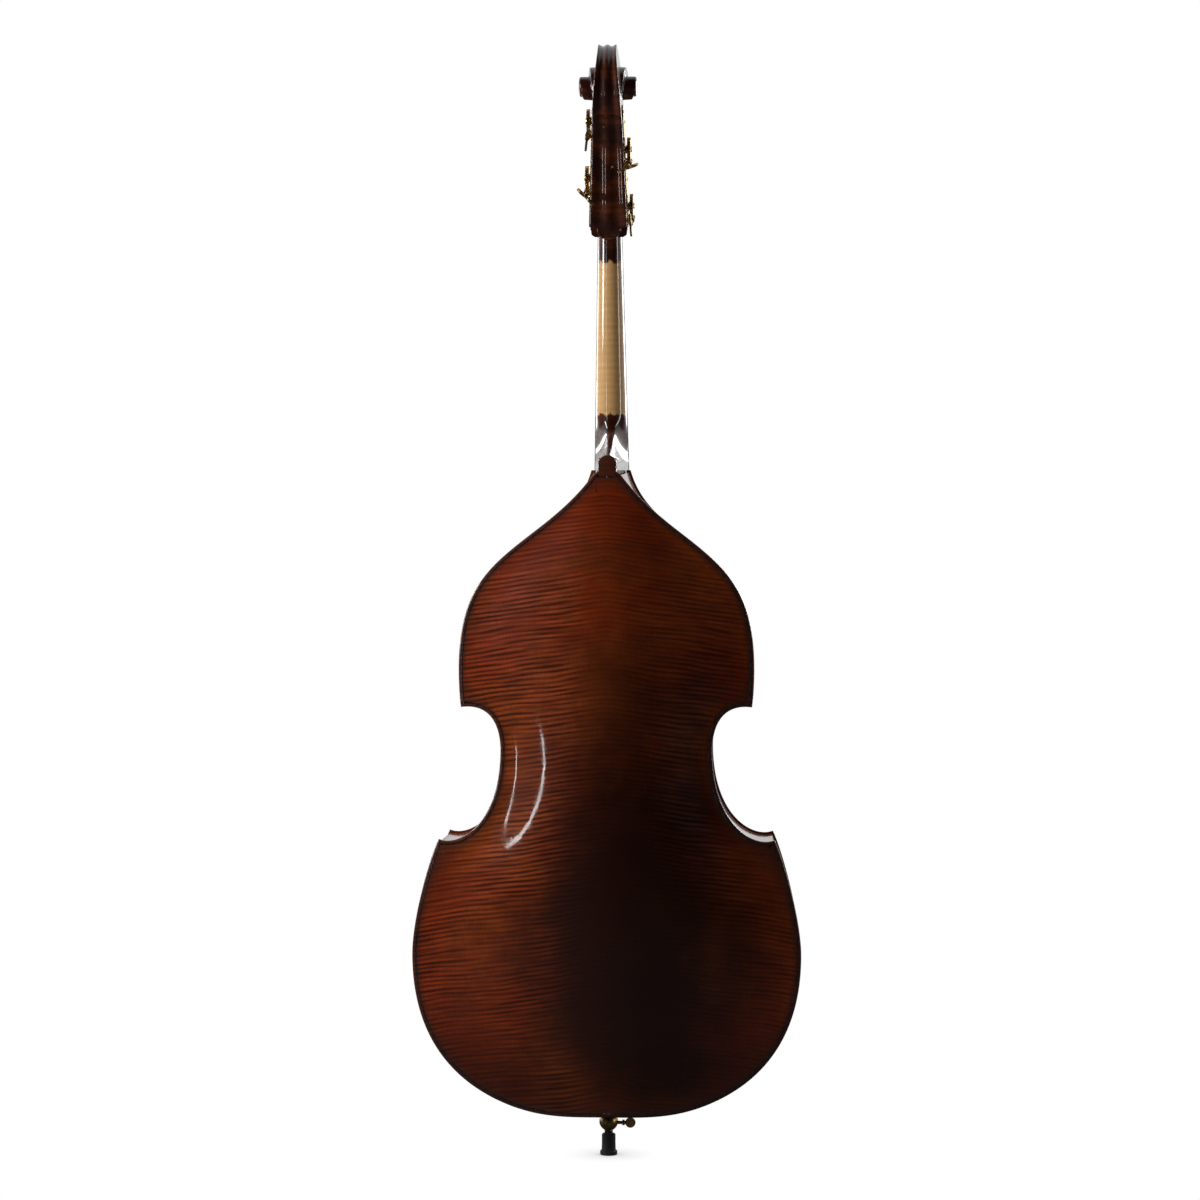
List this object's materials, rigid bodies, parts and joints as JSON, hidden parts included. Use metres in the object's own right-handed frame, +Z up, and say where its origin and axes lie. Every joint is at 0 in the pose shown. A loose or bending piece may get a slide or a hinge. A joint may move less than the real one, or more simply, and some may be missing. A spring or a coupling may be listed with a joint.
{
  "type": "double bass",
  "caption": "Three-quarter double bass with violin corners, carved back and front, worm-geared string posts, raised fingerboard and a sliding endpin",
  "frame": {"origin": "centre of the rubber tip's flat foot, endpin pushed fully in", "axes": "+Z up the instrument, -Y the string side, +X the treble side"},
  "size_m": [0.668, 0.4263, 1.9356],
  "materials": {
    "maple_body": "dark red-brown gloss varnish over flamed maple",
    "spruce_front": "red-brown gloss varnish over spruce",
    "dark_inlay": "black inlay under varnish",
    "inner_wood": "bare spruce and willow",
    "ebony": "oiled black wood",
    "brass": "lacquered brass",
    "string_steel": "flat-wound steel",
    "bridge_maple": "bare maple",
    "rod_steel": "drawn steel",
    "rubber": "moulded black rubber"
  },
  "bodies": {
    "instrument": {"back_plate": "maple_body", "front_plate": "spruce_front", "back_purfling": "dark_inlay", "front_purfling": "dark_inlay", "upper_rib_treble": "maple_body", "upper_rib_bass": "maple_body", "centre_rib_treble": "maple_body", "centre_rib_bass": "maple_body", "lower_rib_treble": "maple_body", "lower_rib_bass": "maple_body", "back_linings": "inner_wood", "front_linings": "inner_wood", "neck_block": "inner_wood", "end_block": "inner_wood", "corner_blocks": "inner_wood", "bass_bar": "inner_wood", "soundpost": "inner_wood", "neck": "maple_body", "fingerboard": "ebony", "nut": "ebony", "tuner_plate_treble": "brass", "tuner_plate_bass": "brass", "tuner_plate_screws": "brass", "string_e": "string_steel", "string_g": "string_steel", "string_a": "string_steel", "string_d": "string_steel", "bridge": "bridge_maple", "tailpiece": "ebony", "tail_wire": "rod_steel", "saddle": "ebony", "endpin_collar": "brass"},
    "post_e_set": {"post_e": "brass", "wheel_e": "brass", "wheel_screw_e": "brass", "string_wrap_e": "string_steel"},
    "key_e_set": {"worm_e": "brass", "key_e": "brass"},
    "post_g_set": {"post_g": "brass", "wheel_g": "brass", "wheel_screw_g": "brass", "string_wrap_g": "string_steel"},
    "key_g_set": {"worm_g": "brass", "key_g": "brass"},
    "post_a_set": {"post_a": "brass", "wheel_a": "brass", "wheel_screw_a": "brass", "string_wrap_a": "string_steel"},
    "key_a_set": {"worm_a": "brass", "key_a": "brass"},
    "post_d_set": {"post_d": "brass", "wheel_d": "brass", "wheel_screw_d": "brass", "string_wrap_d": "string_steel"},
    "key_d_set": {"worm_d": "brass", "key_d": "brass"},
    "endpin": {"endpin_rod": "rod_steel", "rubber_tip": "rubber"},
    "clamp": {"clamp_screw": "brass"}
  },
  "joints": [
    {"name": "post_e_turn", "type": "hinge", "parent": "instrument", "child": "post_e_set", "pos_m": [-0.03971, -0.01489, 1.66367], "axis": [1, 0, 0], "continuous": true},
    {"name": "key_e_turn", "type": "hinge", "parent": "instrument", "child": "key_e_set", "pos_m": [-0.03971, -0.0216, 1.64171], "axis": [0, 0.9563, -0.2924], "continuous": true},
    {"name": "post_g_turn", "type": "hinge", "parent": "instrument", "child": "post_g_set", "pos_m": [0.03787, -0.00045, 1.71091], "axis": [1, 0, 0], "continuous": true},
    {"name": "key_g_turn", "type": "hinge", "parent": "instrument", "child": "key_g_set", "pos_m": [0.03787, -0.00716, 1.68895], "axis": [0, 0.9563, -0.2924], "continuous": true},
    {"name": "post_a_turn", "type": "hinge", "parent": "instrument", "child": "post_a_set", "pos_m": [-0.03602, 0.01399, 1.75815], "axis": [1, 0, 0], "continuous": true},
    {"name": "key_a_turn", "type": "hinge", "parent": "instrument", "child": "key_a_set", "pos_m": [-0.03602, 0.00728, 1.7362], "axis": [0, 0.9563, -0.2924], "continuous": true},
    {"name": "post_d_turn", "type": "hinge", "parent": "instrument", "child": "post_d_set", "pos_m": [0.03417, 0.02844, 1.80539], "axis": [1, 0, 0], "continuous": true},
    {"name": "key_d_turn", "type": "hinge", "parent": "instrument", "child": "key_d_set", "pos_m": [0.03417, 0.02172, 1.78344], "axis": [0, 0.9563, -0.2924], "continuous": true},
    {"name": "endpin_slide", "type": "slide", "parent": "instrument", "child": "endpin", "axis": [0, 0, -1], "range_m": [0, 0.3]},
    {"name": "clamp_turn", "type": "hinge", "parent": "instrument", "child": "clamp", "pos_m": [0, 0, 0.056], "axis": [-1, 0, 0], "range_deg": [0, 360]}
  ],
  "couplings": [
    {"joint": "key_e_turn", "follows": "post_e_turn", "ratio": -22},
    {"joint": "key_g_turn", "follows": "post_g_turn", "ratio": -22},
    {"joint": "key_a_turn", "follows": "post_a_turn", "ratio": -22},
    {"joint": "key_d_turn", "follows": "post_d_turn", "ratio": -22}
  ]
}
